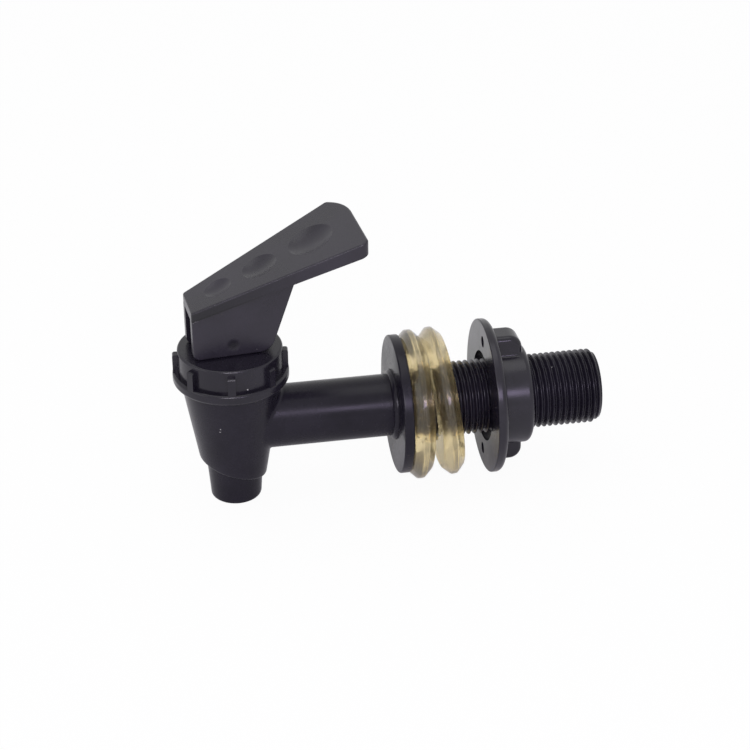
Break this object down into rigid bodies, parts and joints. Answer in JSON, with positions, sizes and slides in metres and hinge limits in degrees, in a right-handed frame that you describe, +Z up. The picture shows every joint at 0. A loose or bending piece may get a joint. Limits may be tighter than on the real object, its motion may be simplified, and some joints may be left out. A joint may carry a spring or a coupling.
{
  "type": "plastic push-lever tap",
  "caption": "Black plastic lever tap for a water filter, with a ribbed bonnet, downward spout, flanged threaded shank, translucent washers and a wing nut.",
  "frame": {"origin": "centre of the flange's back face, where the shank leaves it", "axes": "+X along the shank towards its threaded end inside the vessel, +Z up along the stem, spout down"},
  "size_m": [0.0947, 0.0346, 0.0647],
  "materials": {
    "black_plastic": "satin moulded black polypropylene",
    "stem_plastic": "natural acetal",
    "silicone": "soft silicone",
    "spring_steel": "stainless spring wire",
    "washer_rubber": "translucent pale yellow rubber"
  },
  "bodies": {
    "tap": {"tap_body": "black_plastic", "bonnet": "black_plastic", "outer_washer": "washer_rubber", "inner_washer": "washer_rubber"},
    "seat": {"seat_cup": "silicone", "return_spring": "spring_steel"},
    "stem": {"stem": "stem_plastic"},
    "lever": {"lever": "black_plastic"},
    "nut": {"wing_nut": "black_plastic"}
  },
  "joints": [
    {"name": "seat_lift", "type": "slide", "parent": "tap", "child": "seat", "axis": [0, 0, 1], "range_m": [0, 0.0032], "deforming": ["seat_cup", "return_spring"]},
    {"name": "stem_spin", "type": "hinge", "parent": "seat", "child": "stem", "pos_m": [-0.0381, 0, 0], "axis": [0, 0, 1], "continuous": true},
    {"name": "lever_tilt", "type": "hinge", "parent": "stem", "child": "lever", "pos_m": [-0.0381, 0, 0.0216], "axis": [-0.0906, 0.9959, 0], "range_deg": [0, 30], "stiffness_Nm_per_rad": 0.1, "springref_deg": -17.19},
    {"name": "nut_travel", "type": "slide", "parent": "tap", "child": "nut", "axis": [1, 0, 0], "range_m": [-0.0052, 0.0155]}
  ],
  "couplings": [
    {"joint": "seat_lift", "follows": "lever_tilt", "m_per_rad": 0.006}
  ]
}
